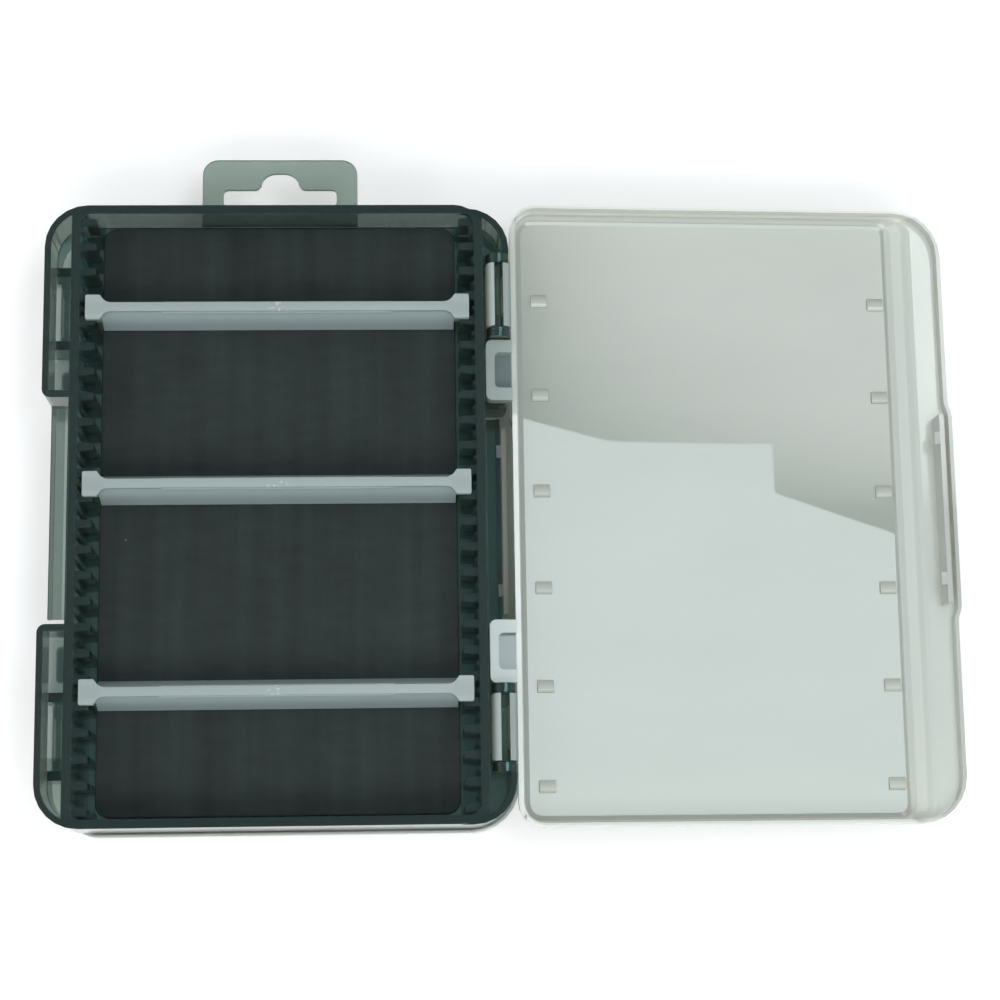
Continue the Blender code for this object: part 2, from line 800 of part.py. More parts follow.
def divider_mesh():
    """A divider: a hollow foot that spreads below a narrow bar, with a head and tongue at each end."""
    low = mat_top + CLEARANCE
    bar_low = RIM_HEIGHT - HEAD_THICK
    foot = FOOT_WIDTH / 2
    bar = BAR_WIDTH / 2
    lean = (foot - bar) / (bar_low - low)
    top = bar_low + SINK
    neck = bar - lean * SINK
    hollow_top = bar_low - DIVIDER_WALL
    side = [(foot, low), (neck, top)]
    under = [(foot - DIVIDER_WALL, low), (bar + lean * DIVIDER_WALL - DIVIDER_WALL, hollow_top)]
    profile = side + [(-y, z) for y, z in reversed(side)]
    profile += [(-y, z) for y, z in under] + list(reversed(under))
    foot_end = tooth_tip_x - FOOT_SETBACK
    divider = prism("divider", [profile], -foot_end, foot_end, "YZ")

    head_end = inner_x - NIB_REACH - CLEARANCE - CLEARANCE
    head_start = head_end - HEAD_LENGTH
    head_y = HEAD_WIDTH / 2
    curve = arc(head_start - HEAD_BLEND, bar + HEAD_BLEND, HEAD_BLEND, -90, -45)
    quarter = [*curve, (head_start, head_y)]
    quarter += arc(head_end - HEAD_CORNER, head_y - HEAD_CORNER, HEAD_CORNER, 90, 0)
    right = quarter + [(x, -y) for x, y in reversed(quarter)]
    left = [(-x, y) for x, y in reversed(right)]
    join(divider, prism("divider_cap", [right + left], bar_low, RIM_HEIGHT))

    tongue = TONGUE_WIDTH / 2
    tongue_end = head_end - CLEARANCE
    for side_name, sign in (("right", 1), ("left", -1)):
        ends = sorted((sign * (foot_end - DIVIDER_WALL), sign * tongue_end))
        plan = rectangle(*ends, -tongue, tongue)
        join(divider, prism("tongue_" + side_name, [plan], low + CLEARANCE, top))

    strip_y = bar + LABEL_PROUD
    strip_plan = rectangle(-LABEL_LENGTH / 2, LABEL_LENGTH / 2, -strip_y, strip_y)
    strip_top = bar_low + LABEL_DROP / 2
    join(divider, prism("divider_strip", [strip_plan], strip_top - LABEL_DROP, strip_top))

    mesh = baked(divider)
    mesh.name = "divider"
    bpy.data.objects.remove(divider)
    mesh.materials.append(MILKY_DIVIDER)
    return mesh


def make_dividers():
    """The three dividers, each in its own pair of grooves."""
    mesh = divider_mesh()
    places = {
        "divider_upper": UPPER_DIVIDER_SHARE,
        "divider_middle": MIDDLE_DIVIDER_SHARE,
        "divider_lower": LOWER_DIVIDER_SHARE,
    }
    for name, share in places.items():
        divider = keep(name, mesh, PARTS)
        divider.location = (0, round(last_groove * share) * PITCH, MID_HEIGHT)


make_body()
make_lids()
make_mats()
make_dividers()
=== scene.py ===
# %% [markdown]
# # A two-sided lure box in smoke and milky plastic
# The solids come packed as a fixed frame, with every piece at its real size and on its joint. Their
# shapes are right already, so this script only gives them their finish: a see-through smoke body,
# cloudy lids and dividers, and foam floors.

# %% Load the frame
import json
import math

import bmesh
import bpy
from mathutils import Matrix, Vector


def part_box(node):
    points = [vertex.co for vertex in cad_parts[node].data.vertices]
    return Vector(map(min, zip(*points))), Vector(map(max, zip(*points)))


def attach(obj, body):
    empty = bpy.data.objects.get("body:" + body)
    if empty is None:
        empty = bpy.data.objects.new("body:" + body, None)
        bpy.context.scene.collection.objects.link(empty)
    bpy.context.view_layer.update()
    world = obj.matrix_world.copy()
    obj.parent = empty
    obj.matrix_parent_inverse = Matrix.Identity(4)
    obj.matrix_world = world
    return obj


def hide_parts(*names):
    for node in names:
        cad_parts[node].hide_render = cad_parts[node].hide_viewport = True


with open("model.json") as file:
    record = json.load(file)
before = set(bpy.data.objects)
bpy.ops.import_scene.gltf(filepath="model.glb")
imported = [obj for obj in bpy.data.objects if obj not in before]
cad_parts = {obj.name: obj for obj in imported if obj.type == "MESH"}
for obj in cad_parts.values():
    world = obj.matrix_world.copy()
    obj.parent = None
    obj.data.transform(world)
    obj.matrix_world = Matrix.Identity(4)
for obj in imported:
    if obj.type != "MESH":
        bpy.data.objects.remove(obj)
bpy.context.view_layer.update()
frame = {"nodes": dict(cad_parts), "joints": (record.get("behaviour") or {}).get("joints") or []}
nodes = frame["nodes"]
print("solids:", sorted(nodes))

body_low, body_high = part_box("base_body")
web_height = (body_low.z + body_high.z) / 2
print("the middle web lies", round(web_height, 4), "m above the floor")

# %% [markdown]
# ## Camera
# The photograph was taken from almost overhead with a long lens, a little below the box's end. A camera
# can be nudged by eye until the view looks right. Here its place over the middle web and its three
# small turns were worked out instead, by matching the box's straight edges, because that also fixes how
# high the rims, the foam and the open lid lie.

# %% Place the camera
IMAGE_WIDTH = 1000
SENSOR_WIDTH = 36.0
FOCAL_PIXELS = 2377.3
EYE_FROM_WEB = Vector((0.03108, -0.12455, 0.65973))
TURN_X, TURN_Y, TURN_Z = -0.19297, 0.04709, 0.016

camera_data = bpy.data.cameras.new("camera")
camera_data.sensor_width = SENSOR_WIDTH
camera_data.lens = FOCAL_PIXELS / IMAGE_WIDTH * SENSOR_WIDTH
camera = bpy.data.objects.new("camera", camera_data)
turn = (
    Matrix.Rotation(TURN_Z, 4, "Z")
    @ Matrix.Rotation(TURN_X, 4, "X")
    @ Matrix.Rotation(TURN_Y, 4, "Y")
)
eye = EYE_FROM_WEB + Vector((0, 0, web_height))
camera.matrix_world = Matrix.Translation(eye) @ turn.inverted()
scene = bpy.context.scene
scene.collection.objects.link(camera)
scene.camera = camera
print("lens", round(camera_data.lens, 1), "mm, eye", round(eye.z, 3), "m above the floor")

# %% [markdown]
# ## Steps that shader nodes repeat
# A material is a web of small nodes, and most of the webs here are made of the same few steps. Each
# step could be typed out every time. As a short function it is written once, and a material then reads
# almost like a sentence.

# %% Numbers and blends in nodes


def feed(tree, slot, value):
    """Sets a socket to a number, or links another socket to it."""
    if isinstance(value, (int, float)):
        slot.default_value = value
    else:
        tree.links.new(value, slot)


def math_node(tree, operation, first, second=0.0):
    """A Math node whose inputs are numbers or sockets."""
    made = tree.nodes.new("ShaderNodeMath")
    made.operation = operation
    feed(tree, made.inputs[0], first)
    feed(tree, made.inputs[1], second)
    return made.outputs[0]


def blend_value(tree, factor, low, high):
    """A value that goes from low to high with a factor. Low and high are numbers or sockets."""
    mix = tree.nodes.new("ShaderNodeMix")
    tree.links.new(factor, mix.inputs["Factor"])
    feed(tree, mix.inputs["A"], low)
    feed(tree, mix.inputs["B"], high)
    return mix.outputs["Result"]


def any_ray_of(tree, *kinds):
    """One for the kinds of ray that are named, and zero for the others."""
    path = tree.nodes.new("ShaderNodeLightPath")
    total = path.outputs[kinds[0]]
    for kind in kinds[1:]:
        total = math_node(tree, "MAXIMUM", total, path.outputs[kind])
    return total


print("node helpers:", [step.__name__ for step in (feed, math_node, blend_value, any_ray_of)])

# %% [markdown]
# ## Sky
# The box was lit from the foot of the picture, under a dim ceiling: its flat rims stay dark, and only
# faces that look down the picture are bright. One even sky would light all faces alike. So the sky has
# three strengths: a weak one for the light it gives, one that gets darker overhead for what gloss
# mirrors, and plain white where the camera sees it or looks through plastic at it.

# %% Light the sky
SKY_STRENGTH = 0.46
CEILING_IN_GLOSS = 0.43
CEILING_RISE = (0.35, 0.8)
WHITE = (1, 1, 1, 1)

scene.view_settings.view_transform = "Standard"


def make_world():
    world = bpy.data.worlds.new("studio")
    world.use_nodes = True
    tree = world.node_tree
    background = tree.nodes["Background"]
    background.inputs["Color"].default_value = WHITE
    place = tree.nodes.new("ShaderNodeTexCoord")
    split = tree.nodes.new("ShaderNodeSeparateXYZ")
    ceiling = tree.nodes.new("ShaderNodeMapRange")
    ceiling.inputs["From Min"].default_value = CEILING_RISE[0]
    ceiling.inputs["From Max"].default_value = CEILING_RISE[1]
    ceiling.inputs["To Min"].default_value = 1.0
    ceiling.inputs["To Max"].default_value = CEILING_IN_GLOSS
    tree.links.new(place.outputs["Generated"], split.inputs["Vector"])
    tree.links.new(split.outputs["Z"], ceiling.inputs["Value"])
    mirrored = any_ray_of(tree, "Is Glossy Ray")
    seen = any_ray_of(tree, "Is Camera Ray", "Is Transmission Ray")
    unseen_strength = blend_value(tree, mirrored, SKY_STRENGTH, ceiling.outputs["Result"])
    strength = blend_value(tree, seen, unseen_strength, 1.0)
    tree.links.new(strength, background.inputs["Strength"])
    scene.world = world


make_world()
print("sky lights at", SKY_STRENGTH, "and gloss mirrors", CEILING_IN_GLOSS, "of it overhead")

# %% [markdown]
# ## Floor
# The box lies on plain white. A floor that is lit until it is white would also throw too much light
# up into the plastic. So the floor is a plain pale grey that takes the box's shadow, and a small glow
# lifts it to white, only for rays that come from the camera, off gloss or through clear plastic. Far
# away the lift is full, so that low views meet no grey band.

# %% Lay the floor
FLOOR_SIZE = 6.0
FLOOR_COLOUR = (0.86, 0.87, 0.87, 1)
FLOOR_ROUGHNESS = 0.9
FLOOR_GLOSS = 0.1
FLOOR_LIFT = 0.27
FAR_LIFT = 1.0
FAR_FROM_BOX = (0.35, 1.2)


def soft_step(tree, value, start, finish):
    """Zero before the start, one past the finish, soft between. The finish may be the lower one."""
    made = tree.nodes.new("ShaderNodeMapRange")
    made.interpolation_type = "SMOOTHSTEP"
    made.inputs["From Min"].default_value = start
    made.inputs["From Max"].default_value = finish
    tree.links.new(value, made.inputs["Value"])
    return made.outputs["Result"]


def vector_node(tree, operation, first, second=None):
    """The outputs of a Vector Math node that is fed by sockets."""
    made = tree.nodes.new("ShaderNodeVectorMath")
    made.operation = operation
    tree.links.new(first, made.inputs[0])
    if second is not None:
        tree.links.new(second, made.inputs[1])
    return made.outputs


def make_floor():
    mesh = bpy.data.meshes.new("floor")
    work = bmesh.new()
    bmesh.ops.create_grid(work, x_segments=1, y_segments=1, size=FLOOR_SIZE / 2)
    work.to_mesh(mesh)
    work.free()
    floor = bpy.data.objects.new("floor", mesh)
    scene.collection.objects.link(floor)
    paint = bpy.data.materials.new("floor_paint")
    paint.use_nodes = True
    tree = paint.node_tree
    shader = tree.nodes["Principled BSDF"]
    shader.inputs["Base Color"].default_value = FLOOR_COLOUR
    shader.inputs["Roughness"].default_value = FLOOR_ROUGHNESS
    shader.inputs["Specular IOR Level"].default_value = FLOOR_GLOSS
    shader.inputs["Emission Color"].default_value = WHITE
    seen = any_ray_of(tree, "Is Camera Ray", "Is Glossy Ray", "Is Transmission Ray")
    place = tree.nodes.new("ShaderNodeTexCoord").outputs["Object"]
    distance = vector_node(tree, "LENGTH", place)["Value"]
    far = soft_step(tree, distance, *FAR_FROM_BOX)
    lift = blend_value(tree, seen, 0.0, blend_value(tree, far, FLOOR_LIFT, FAR_LIFT))
    tree.links.new(lift, shader.inputs["Emission Strength"])
    mesh.materials.append(paint)


make_floor()
print("the floor is", FLOOR_SIZE, "m wide")

# %% [markdown]
# ## Lamps
# Two soft boxes light the box. The strong one stands past the foot of the picture, where the box's
# bright faces look. The weak one stands to the left, so that the sides that face away don't go flat.
# Small lamps could be as bright, but large ones give the soft shadow edges of a studio.

# %% Hang the lamps
LAMPS = {
    "softbox_foot": {
        "place": (0.1, -0.84, 1.05),
        "aim": (0.05, 0, 0),
        "size": (1.4, 0.6),
        "power": 8.5,
    },
    "softbox_left": {
        "place": (-1.0, 0, 0.7),
        "aim": (0, 0, 0),
        "size": (1.5, 0.6),
        "power": 4.0,
    },
}


def area_lamp(name, place, aim, size, power):
    data = bpy.data.lights.new(name, "AREA")
    data.shape = "RECTANGLE"
    data.size, data.size_y = size
    data.energy = power
    lamp = bpy.data.objects.new(name, data)
    lamp.location = place
    lamp.rotation_euler = (Vector(aim) - Vector(place)).to_track_quat("-Z", "Y").to_euler()
    scene.collection.objects.link(lamp)


for name, values in LAMPS.items():
    area_lamp(name, **values)
    print(name, "gives", values["power"], "W")

# %% [markdown]
# ## The card over the lid
# A cut white card hangs high over the open lid. The lid's gloss shows it as a pale shape with straight
# edges, which is what tells the eye that the panel is flat and polished. The shape could be painted on
# the lid, but then it would stay there in every view. As a thing in the room it is mirrored, and moves
# off the lid when the lid or the camera moves. Its corners were found by following the camera's rays
# off the lid up to the card's height.

# %% Hang the card
CARD_HEIGHT = 1.1
CARD_GLOW = 6.3
CARD_COLOUR = (0.88, 0.97, 1, 1)
BLACK = (0, 0, 0, 1)
CARD_CORNERS = (
    (0.2, 0.291),
    (0.312, 0.263),
    (0.438, 0.263),
    (0.439, 0.225),
    (0.537, 0.193),
    (0.534, -0.16),
    (0.2, -0.16),
)


def glowing_sheet(name, corners, height, colour):
    """A flat stage sheet that only glows. Its material's node tree and shader are returned."""
    work = bmesh.new()
    work.faces.new([work.verts.new((x, y, height)) for x, y in corners])
    mesh = bpy.data.meshes.new(name)
    work.to_mesh(mesh)
    work.free()
    sheet = bpy.data.objects.new(name, mesh)
    scene.collection.objects.link(sheet)
    glow = bpy.data.materials.new(name + "_glow")
    glow.use_nodes = True
    shader = glow.node_tree.nodes["Principled BSDF"]
    shader.inputs["Base Color"].default_value = BLACK
    shader.inputs["Emission Color"].default_value = colour
    mesh.materials.append(glow)
    return glow.node_tree, shader


_, card_shader = glowing_sheet("card", CARD_CORNERS, CARD_HEIGHT, CARD_COLOUR)
card_shader.inputs["Emission Strength"].default_value = CARD_GLOW
print("the card hangs", CARD_HEIGHT, "m above the floor")

# %% [markdown]
# ## The fading cloth behind the card
# Above the card's image the lid goes softly from dark grey to pale. A second lamp would brighten the
# whole panel at once, so a cloth hangs just over the card instead, dark at the corner nearest the box
# and brighter away from it. Its glow rises with the product of the distances along its two sides, and
# levels off like paint that gets thicker.

# %% Hang the fading cloth
CLOTH_GLOW = 5.2
CLOTH_OVER_CARD = 0.01
CLOTH_CORNERS = ((0.2, 0.15), (0.6, 0.15), (0.6, 0.5), (0.2, 0.5))
FADE_CORNER = 0.2
FADE_START = 0.0045
FADE_RATE = 85.0


def object_place(tree):
    """A point in the object's own space, whole and as its X, Y and Z."""
    place = tree.nodes.new("ShaderNodeTexCoord").outputs["Object"]
    split = tree.nodes.new("ShaderNodeSeparateXYZ")
    tree.links.new(place, split.inputs["Vector"])
    return place, split.outputs


def fading_cloth():
    tree, shader = glowing_sheet("fading_cloth", CLOTH_CORNERS, CARD_HEIGHT + CLOTH_OVER_CARD, WHITE)
    axes = object_place(tree)[1]
    across = math_node(tree, "SUBTRACT", axes["X"], FADE_CORNER)
    along = math_node(tree, "SUBTRACT", axes["Y"], FADE_CORNER)
    past_start = math_node(tree, "SUBTRACT", math_node(tree, "MULTIPLY", across, along), FADE_START)
    depth = math_node(tree, "MULTIPLY", math_node(tree, "MAXIMUM", past_start, 0.0), FADE_RATE)
    dark = math_node(tree, "POWER", math.exp(-1), depth)
    level = math_node(tree, "MULTIPLY", math_node(tree, "SUBTRACT", 1.0, dark), CLOTH_GLOW)
    tree.links.new(level, shader.inputs["Emission Strength"])


fading_cloth()
print("the cloth hangs", CLOTH_OVER_CARD, "m over the card")

# %% [markdown]
# ## A moulded surface
# Moulded plastic is never quite flat: it has a fine grain from the mould, slow waves where it shrank,
# and hair-fine scratches from use. A scanned texture could show that, but it would repeat and stretch.
# One node group makes all three from noise in the object's own space instead, and each plastic below
# sets its own values on it.

# %% The moulded surface group
MOULDED_INPUTS = {
    "Grain Scale": 2500.0,
    "Grain Depth": 0.1,
    "Wave Scale": 25.0,
    "Roughness": 0.2,
    "Roughness Spread": 0.1,
}
SCRATCH_SCALE = 220.0
SCRATCH_STRETCH = (9.0, 1.0, 9.0)
FLOW_SCALE = 14.0
FLOW_STRETCH = (1.0, 3.5, 1.0)


def new_group(name, inputs, outputs):
    """An empty node group. Its inputs hold a number or a vector each, and its outputs numbers."""
    group = bpy.data.node_groups.new(name, "ShaderNodeTree")
    for title, value in inputs.items():
        kind = "NodeSocketFloat" if isinstance(value, float) else "NodeSocketVector"
        made = group.interface.new_socket(name=title, in_out="INPUT", socket_type=kind)
        made.default_value = value
    for title in outputs:
        group.interface.new_socket(name=title, in_out="OUTPUT", socket_type="NodeSocketFloat")
    start = group.nodes.new("NodeGroupInput").outputs
    end = group.nodes.new("NodeGroupOutput").inputs
    return group, start, end


def noise(tree, vector, scale, detail):
    """Soft noise between zero and one. The scale is a number or a socket."""
    made = tree.nodes.new("ShaderNodeTexNoise")
    made.inputs["Detail"].default_value = detail
    tree.links.new(vector, made.inputs["Vector"])
    feed(tree, made.inputs["Scale"], scale)
    return made.outputs["Fac"]


def stretched(tree, vector, scales):
    """Coordinates drawn out along one direction, for streaks."""
    made = tree.nodes.new("ShaderNodeMapping")
    made.inputs["Scale"].default_value = scales
    tree.links.new(vector, made.inputs["Vector"])
    return made.outputs["Vector"]


def moulded_surface_group():
    """Height for a bump, roughness, and the slow flow marks that the colour follows."""
    outputs = ("Height", "Surface Roughness", "Flow")
    group, start, end = new_group("moulded_surface", MOULDED_INPUTS, outputs)
    place = object_place(group)[0]
    grain = noise(group, place, start["Grain Scale"], detail=3.0)
    wave = noise(group, place, start["Wave Scale"], detail=2.0)
    scratch = noise(group, stretched(group, place, SCRATCH_STRETCH), SCRATCH_SCALE, detail=2.0)
    flow = noise(group, stretched(group, place, FLOW_STRETCH), FLOW_SCALE, detail=3.0)
    fine = math_node(group, "MULTIPLY", grain, start["Grain Depth"])
    height = math_node(group, "ADD", fine, wave)
    marks = math_node(group, "ADD", wave, scratch)
    uneven = math_node(group, "MULTIPLY", marks, start["Roughness Spread"])
    rough = math_node(group, "ADD", uneven, start["Roughness"])
    for title, value in zip(outputs, (height, rough, flow)):
        group.links.new(value, end[title])
    return group


MOULDED = moulded_surface_group()
print("moulded surface group has", len(MOULDED.nodes), "nodes")

# %% [markdown]
# ## What the plastics share
# Every plastic here lets light through, has the moulded surface above, and wanders a little between two
# near tones along the way it flowed. The edges of a moulding are never sharp. They could be rounded in
# the mesh, but the solids stay as they are, so a Bevel node rounds only the shading there.

# %% A moulded plastic
PLASTIC_IOR = 1.49
COAT_ROUGHNESS = 0.015
EDGE_SOFTNESS = 0.00025
EDGE_SAMPLES = 4
BUMP_DISTANCE = 0.0002
TONE_STOPS = (0.3, 0.7)


def two_tones(tree, factor, dark, light):
    """A colour that wanders between two near tones."""
    tones = tree.nodes.new("ShaderNodeValToRGB")
    for stop, position, tone in zip(tones.color_ramp.elements, TONE_STOPS, (dark, light)):
        stop.position = position
        stop.color = (*tone, 1)
    tree.links.new(factor, tones.inputs["Fac"])
    return tones.outputs["Color"]


def moulded_plastic(name, tones, roughness, spread, transmission, wave_strength, coat=0.0):
    made = bpy.data.materials.new(name)
    made.use_nodes = True
    tree = made.node_tree
    shader = tree.nodes["Principled BSDF"]
    shader.inputs["IOR"].default_value = PLASTIC_IOR
    shader.inputs["Transmission Weight"].default_value = transmission
    shader.inputs["Coat Weight"].default_value = coat
    shader.inputs["Coat Roughness"].default_value = COAT_ROUGHNESS
    surface = tree.nodes.new("ShaderNodeGroup")
    surface.node_tree = MOULDED
    surface.inputs["Roughness"].default_value = roughness
    surface.inputs["Roughness Spread"].default_value = spread
    soft_edge = tree.nodes.new("ShaderNodeBevel")
    soft_edge.samples = EDGE_SAMPLES
    soft_edge.inputs["Radius"].default_value = EDGE_SOFTNESS
    bump = tree.nodes.new("ShaderNodeBump")
    bump.inputs["Strength"].default_value = wave_strength
    bump.inputs["Distance"].default_value = BUMP_DISTANCE
    colour = two_tones(tree, surface.outputs["Flow"], *tones)
    tree.links.new(colour, shader.inputs["Base Color"])
    tree.links.new(surface.outputs["Surface Roughness"], shader.inputs["Roughness"])
    tree.links.new(surface.outputs["Height"], bump.inputs["Height"])
    tree.links.new(soft_edge.outputs["Normal"], bump.inputs["Normal"])
    tree.links.new(bump.outputs["Normal"], shader.inputs["Normal"])
    return made


print("moulded edges shade as if rounded by", EDGE_SOFTNESS * 1000, "mm")

# %% [markdown]
# ## Zones of the smoke body
# Light runs along inside a see-through wall and comes out elsewhere. Tracing that truly would be slow
# and noisy, so places that it reaches differently get tones of their own. The body's thin web shows in
# three of them: as a strip under the comb teeth, in the windows of the side wings, and in the finger
# notches. The fourth is the end walls, seen from inside. All are straight-sided, so their borders are
# plain distances from the box's middle, in metres, and each pair of numbers is one soft border.

# %% Find the zones of the body
WEB_SKIN = (0.0012, 0.0009)
FOAM_SIDE = (0.0497, 0.05)
COMB_BACK = (0.0575, 0.058)
NOTCH_SKIN = (0.0588, 0.0592)
NOTCH_END = (0.031, 0.032)
WINDOW_END = (0.0665, 0.0675)
END_WALL = (0.0838, 0.0843)


def both(tree, first, *others):
    """One where every mask is one."""
    for other in others:
        first = math_node(tree, "MULTIPLY", first, other)
    return first


def body_zones_group():
    group, _, end = new_group("body_zones", {}, ("Strip", "Wing", "Notch", "End Wall"))
    axes = object_place(group)[1]
    aside = math_node(group, "ABSOLUTE", axes["X"])
    off_middle = math_node(group, "ABSOLUTE", axes["Y"])
    off_web = math_node(group, "ABSOLUTE", math_node(group, "SUBTRACT", axes["Z"], web_height))
    on_web = soft_step(group, off_web, *WEB_SKIN)
    past_foam = soft_step(group, aside, *FOAM_SIDE)
    past_comb = soft_step(group, aside, *COMB_BACK)
    past_skin = soft_step(group, aside, *NOTCH_SKIN)
    past_notch = soft_step(group, off_middle, *NOTCH_END)
    past_window = soft_step(group, off_middle, *WINDOW_END)
    at_end = soft_step(group, off_middle, *END_WALL)
    in_strip = math_node(group, "SUBTRACT", past_foam, past_comb)
    in_window = math_node(group, "SUBTRACT", past_notch, past_window)
    in_notch = math_node(group, "SUBTRACT", 1.0, past_notch)
    off_the_web = math_node(group, "SUBTRACT", 1.0, on_web)
    group.links.new(both(group, on_web, in_strip), end["Strip"])
    group.links.new(both(group, on_web, past_comb, in_window), end["Wing"])
    group.links.new(both(group, past_skin, in_notch), end["Notch"])
    group.links.new(both(group, off_the_web, at_end), end["End Wall"])
    return group


BODY_ZONES = body_zones_group()
print("body zones have", len(BODY_ZONES.nodes), "nodes")

# %% [markdown]
# ## Smoke plastic
# The body is a glossy grey-green moulding. Its colour is in the depth, not on the surface: a thin web
# looks pale, and a wall seen edge-on looks almost black. A darker surface colour would make both alike,
# so Volume Absorption does it, and it is dense, because the walls are under two millimetres thick. A
# tint makes the gloss look cool, and the zones' tones are laid over the surface one by one.

# %% Make the smoke plastic
SMOKE_TONES = ((0.485, 0.61, 0.555), (0.525, 0.65, 0.595))
SMOKE_GLOSS_TINT = (0.42, 1.0, 1.0, 1)
SMOKE_DEPTH_COLOUR = (0.38, 0.38, 0.35)
SMOKE_DENSITY = 520.0
BODY_ZONE_TONES = {
    "Strip": (0.33, 0.46, 0.45),
    "Wing": (0.86, 0.98, 0.98),
    "Notch": (0.31, 0.39, 0.355),
    "End Wall": (0.43, 0.54, 0.52),
}


def tint_volume(made, colour, density):
    """Colour that builds up with the depth of plastic that the light crosses."""
    tree = made.node_tree
    volume = tree.nodes.new("ShaderNodeVolumeAbsorption")
    volume.inputs["Color"].default_value = (*colour, 1)
    volume.inputs["Density"].default_value = density
    tree.links.new(volume.outputs["Volume"], tree.nodes["Material Output"].inputs["Volume"])


# A Mix node keeps its sockets for numbers and vectors first. These are its places for colours.
COLOUR_A, COLOUR_B, COLOUR_RESULT = 6, 7, 2


def tone_over(tree, mask, below, tone):
    """A tone laid over a colour where a mask is one."""
    mix = tree.nodes.new("ShaderNodeMix")
    mix.data_type = "RGBA"
    tree.links.new(mask, mix.inputs["Factor"])
    tree.links.new(below, mix.inputs[COLOUR_A])
    mix.inputs[COLOUR_B].default_value = (*tone, 1)
    return mix.outputs[COLOUR_RESULT]


def lay_zones(made, group, tones):
    """Places a group of masks in a plastic, and lays a tone over its colour for each in turn."""
    tree = made.node_tree
    base = tree.nodes["Principled BSDF"].inputs["Base Color"]
    zones = tree.nodes.new("ShaderNodeGroup")
    zones.node_tree = group
    for mask, tone in tones.items():
        colour = base.links[0].from_socket
        tree.links.new(tone_over(tree, zones.outputs[mask], colour, tone), base)
    return zones


smoke = moulded_plastic(
    "smoke_plastic",
    SMOKE_TONES,
    roughness=0.05,
    spread=0.05,
    transmission=0.96,
    wave_strength=0.2,
)
smoke.node_tree.nodes["Principled BSDF"].inputs["Specular Tint"].default_value = SMOKE_GLOSS_TINT
tint_volume(smoke, SMOKE_DEPTH_COLOUR, SMOKE_DENSITY)
lay_zones(smoke, BODY_ZONES, BODY_ZONE_TONES)
print("smoke plastic has", len(smoke.node_tree.nodes), "nodes")

# %% [markdown]
# ## Zones of a divider
# The dividers stand in a dark pocket, so their faces grow darker towards the foam. The lamps alone do
# this only in part, because this shader doesn't scatter light inside the plastic, so the rest is
# painted
# light and shade: the faces are painted paler than the top edge, and darker towards the foot. The
# middle of each top edge keeps the small rough mark where the plastic was let into the mould.
# It is a patch of fine noise, cut off at a level, so that it looks torn and not drawn.

# %% Find the zones of a divider
FACE_BELOW_TOP = (0.0008, 0.0014)
FOOT_BELOW_TOP = 0.003
FOOT_OVER_LOW = 0.0015
TOP_EDGE = (0.0012, 0.0008)
GATE_HALF = 0.0035
GATE_SCALE = 900.0
GATE_LEVELS = (0.56, 0.62)


def divider_zones_group():
    group, _, end = new_group("divider_zones", {}, ("Face", "Foot", "Gate Mark"))
    place, axes = object_place(group)
    low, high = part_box("divider_middle")
    below_top = math_node(group, "SUBTRACT", high.z, axes["Z"])
    aside = math_node(group, "ABSOLUTE", axes["X"])
    on_face = soft_step(group, below_top, *FACE_BELOW_TOP)
    at_foot = soft_step(group, below_top, FOOT_BELOW_TOP, high.z - low.z - FOOT_OVER_LOW)
    on_top = soft_step(group, below_top, *TOP_EDGE)
    near_middle = soft_step(group, aside, GATE_HALF, GATE_HALF / 2)
    rough = soft_step(group, noise(group, place, GATE_SCALE, detail=2.0), *GATE_LEVELS)
    group.links.new(on_face, end["Face"])
    group.links.new(at_foot, end["Foot"])
    group.links.new(both(group, near_middle, on_top, rough), end["Gate Mark"])
    return group


DIVIDER_ZONES = divider_zones_group()
print("divider zones have", len(DIVIDER_ZONES.nodes), "nodes")

# %% [markdown]
# ## Divider plastic
# A divider is milky: some light goes through, and the rest comes back from the surface. Rough clear
# plastic alone would look frosted, but not milky. So less than half of the light is let through, and
# the rest meets a plain grey-green colour, duller than the lids' and without their clear coat.

# %% Make the divider plastic
DIVIDER_TONES = ((0.5, 0.585, 0.575), (0.55, 0.635, 0.625))
DIVIDER_ZONE_TONES = {
    # painted light: the faces below the top edge are painted paler than the top
    "Face": (0.6, 0.73, 0.74),
    # painted shade: the faces are painted darker towards the foam
    "Foot": (0.42, 0.51, 0.52),
    "Gate Mark": (0.8, 0.86, 0.85),
}

milky_divider = moulded_plastic(
    "milky_divider_plastic",
    DIVIDER_TONES,
    roughness=0.22,
    spread=0.1,
    transmission=0.45,
    wave_strength=0.2,
)
lay_zones(milky_divider, DIVIDER_ZONES, DIVIDER_ZONE_TONES)
print("divider plastic has", len(milky_divider.node_tree.nodes), "nodes")

# %% [markdown]
# ## Zones of a lid
# Both lids are the same moulding, one open and one closed. A zone that is given in the box's own
# directions would fit only one of them. So a point is measured from the lid's hinge instead: up, from
# the flat panel to the rim, and across, from the finger lip to the hinge. The rim, the ramp by the lip
# and the block by the hinge look brighter than the panel, because light runs along inside the plastic
# and comes out there. The thin windows of the hinge plates stand over the dark body and look darker.

# %% Find the zones of a lid
LID_PLACE = {"Hinge": (0, 0, 0), "Up": (0, 0, 1), "Across": (-1, 0, 0)}
RIM_LEVELS = (-0.0072, -0.006)
RAMP_ACROSS = (-0.1141, -0.1147)
END_WALL_ALONG = (0.0868, 0.0862)
PLATE_LEVELS = (-0.0025, -0.0031)
WINDOW_MIDDLE = 0.03985
WINDOW_HALF = 0.0051
WINDOW_WALL = -0.00385
WINDOW_BORDER = 0.00115
WINDOW_EDGE = 0.0003


